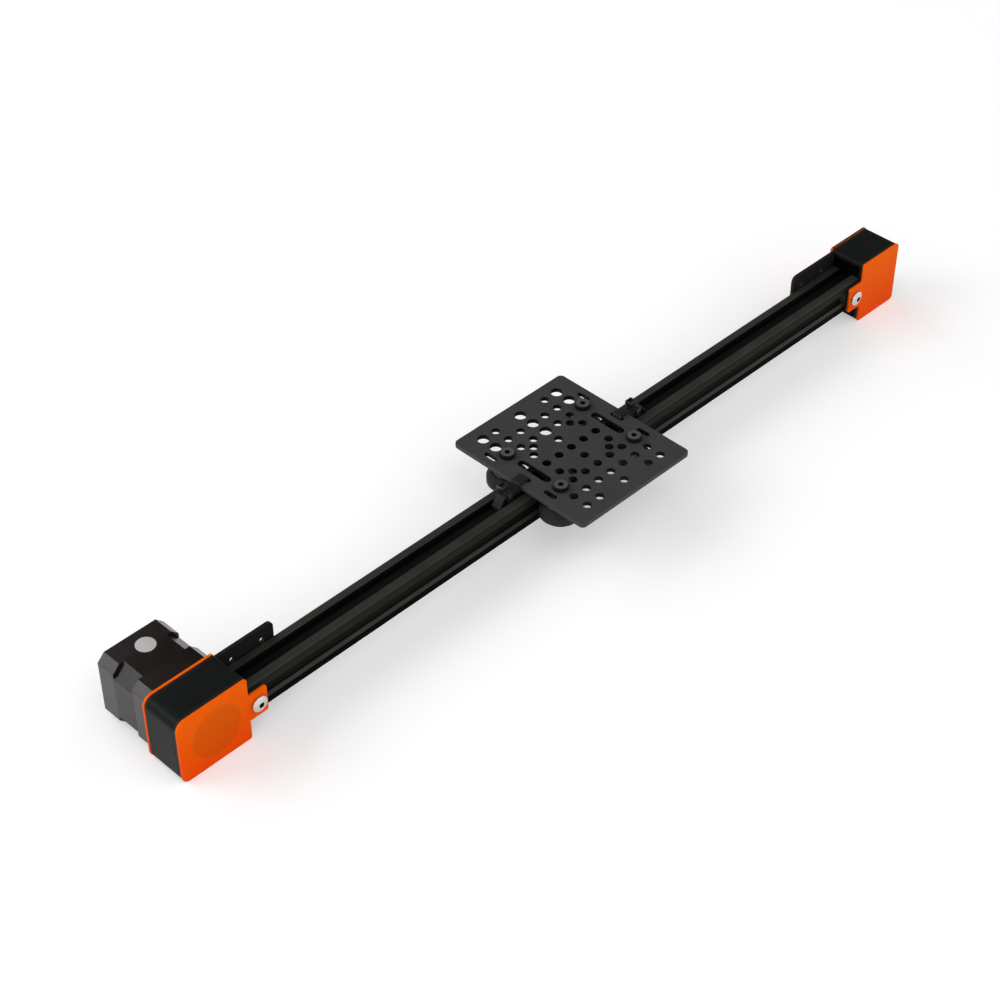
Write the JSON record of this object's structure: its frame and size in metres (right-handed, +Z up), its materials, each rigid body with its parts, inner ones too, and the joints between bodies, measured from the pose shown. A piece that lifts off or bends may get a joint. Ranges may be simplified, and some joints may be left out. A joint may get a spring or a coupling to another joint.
{
  "type": "belt driven linear axis",
  "caption": "Slotted rail with a V-wheel carriage plate that a toothed belt pulls between a stepper motor housing and an idler housing.",
  "frame": {"origin": "on the rail's centre line, half way along the rail", "axes": "+X along the rail from the motor end to the idler end, +Y towards the side the motor stands out on, +Z up, out of the carriage plate's top"},
  "size_m": [0.58, 0.1025, 0.0424],
  "materials": {
    "black_anodised": "satin, black anodised",
    "orange_coat": "satin powder coat",
    "black_coat": "fine matt powder coat",
    "black_shell": "fine matt",
    "bright_steel": "plain",
    "zinc_steel": "zinc plated",
    "black_steel": "black oxide",
    "motor_alloy": "black cast",
    "motor_stack": "black, pressed sheets",
    "pulley_alloy": "clear anodised",
    "belt_rubber": "matt",
    "wheel_resin": "turned acetal",
    "tie_resin": "moulded nylon",
    "socket_resin": "moulded"
  },
  "bodies": {
    "frame": {"rail": "black_anodised", "motor_end_front_plate": "orange_coat", "motor_end_rear_plate": "orange_coat", "idler_end_front_plate": "orange_coat", "idler_end_rear_plate": "orange_coat", "motor_end_front_frame": "black_coat", "motor_end_rear_frame": "black_coat", "idler_end_front_frame": "black_coat", "idler_end_rear_frame": "black_coat", "motor_end_cover": "black_shell", "idler_end_cover": "black_shell", "motor_end_posts": "bright_steel", "idler_end_posts": "bright_steel", "post_screws": "zinc_steel", "tab_screws": "bright_steel", "bracket_screws": "black_steel", "slot_nuts": "zinc_steel", "motor_front_cap": "motor_alloy", "motor_stator": "motor_stack", "motor_rear_cap": "motor_alloy", "motor_mount_screws": "zinc_steel", "motor_tie_screws": "zinc_steel", "motor_socket": "socket_resin", "motor_bearings": "bright_steel", "belt": "belt_rubber", "idler_axle": "bright_steel", "idler_spacers": "pulley_alloy", "idler_bearings": "bright_steel"},
    "carriage": {"carriage_plate": "black_anodised", "wheel_screws": "black_steel", "plain_spacers": "pulley_alloy", "eccentric_spacers": "bright_steel", "wheel_shims": "bright_steel", "wheel_bearings": "bright_steel", "lock_nuts": "zinc_steel", "belt_ends": "belt_rubber", "belt_ties": "tie_resin"},
    "drive": {"motor_shaft": "bright_steel", "motor_rotor": "motor_stack", "drive_pulley": "pulley_alloy", "pulley_set_screws": "black_steel"},
    "idler": {"idler_pulley": "pulley_alloy"},
    "wheel_front_left": {"wheel_front_left": "wheel_resin"},
    "wheel_front_right": {"wheel_front_right": "wheel_resin"},
    "wheel_back_left": {"wheel_back_left": "wheel_resin"},
    "wheel_back_right": {"wheel_back_right": "wheel_resin"}
  },
  "joints": [
    {"name": "carriage_slide", "type": "slide", "parent": "frame", "child": "carriage", "axis": [1, 0, 0], "range_m": [-0.165, 0.165]},
    {"name": "drive_spin", "type": "hinge", "parent": "frame", "child": "drive", "pos_m": [-0.2713, 0, 0], "axis": [0, 1, 0], "continuous": true},
    {"name": "idler_spin", "type": "hinge", "parent": "frame", "child": "idler", "pos_m": [0.2675, 0, 0], "axis": [0, 1, 0], "continuous": true},
    {"name": "front_left_spin", "type": "hinge", "parent": "carriage", "child": "wheel_front_left", "pos_m": [-0.03, -0.02013, 0], "axis": [0, 0, 1], "continuous": true},
    {"name": "front_right_spin", "type": "hinge", "parent": "carriage", "child": "wheel_front_right", "pos_m": [0.03, -0.02013, 0], "axis": [0, 0, 1], "continuous": true},
    {"name": "back_left_spin", "type": "hinge", "parent": "carriage", "child": "wheel_back_left", "pos_m": [-0.0308, 0.02013, 0], "axis": [0, 0, 1], "continuous": true},
    {"name": "back_right_spin", "type": "hinge", "parent": "carriage", "child": "wheel_back_right", "pos_m": [0.0308, 0.02013, 0], "axis": [0, 0, 1], "continuous": true}
  ],
  "couplings": [
    {"joint": "drive_spin", "follows": "carriage_slide", "rad_per_m": 157.08},
    {"joint": "idler_spin", "follows": "carriage_slide", "rad_per_m": 157.08},
    {"joint": "front_left_spin", "follows": "carriage_slide", "rad_per_m": 93.809},
    {"joint": "front_right_spin", "follows": "carriage_slide", "rad_per_m": 93.809},
    {"joint": "back_left_spin", "follows": "carriage_slide", "rad_per_m": -93.809},
    {"joint": "back_right_spin", "follows": "carriage_slide", "rad_per_m": -93.809}
  ]
}
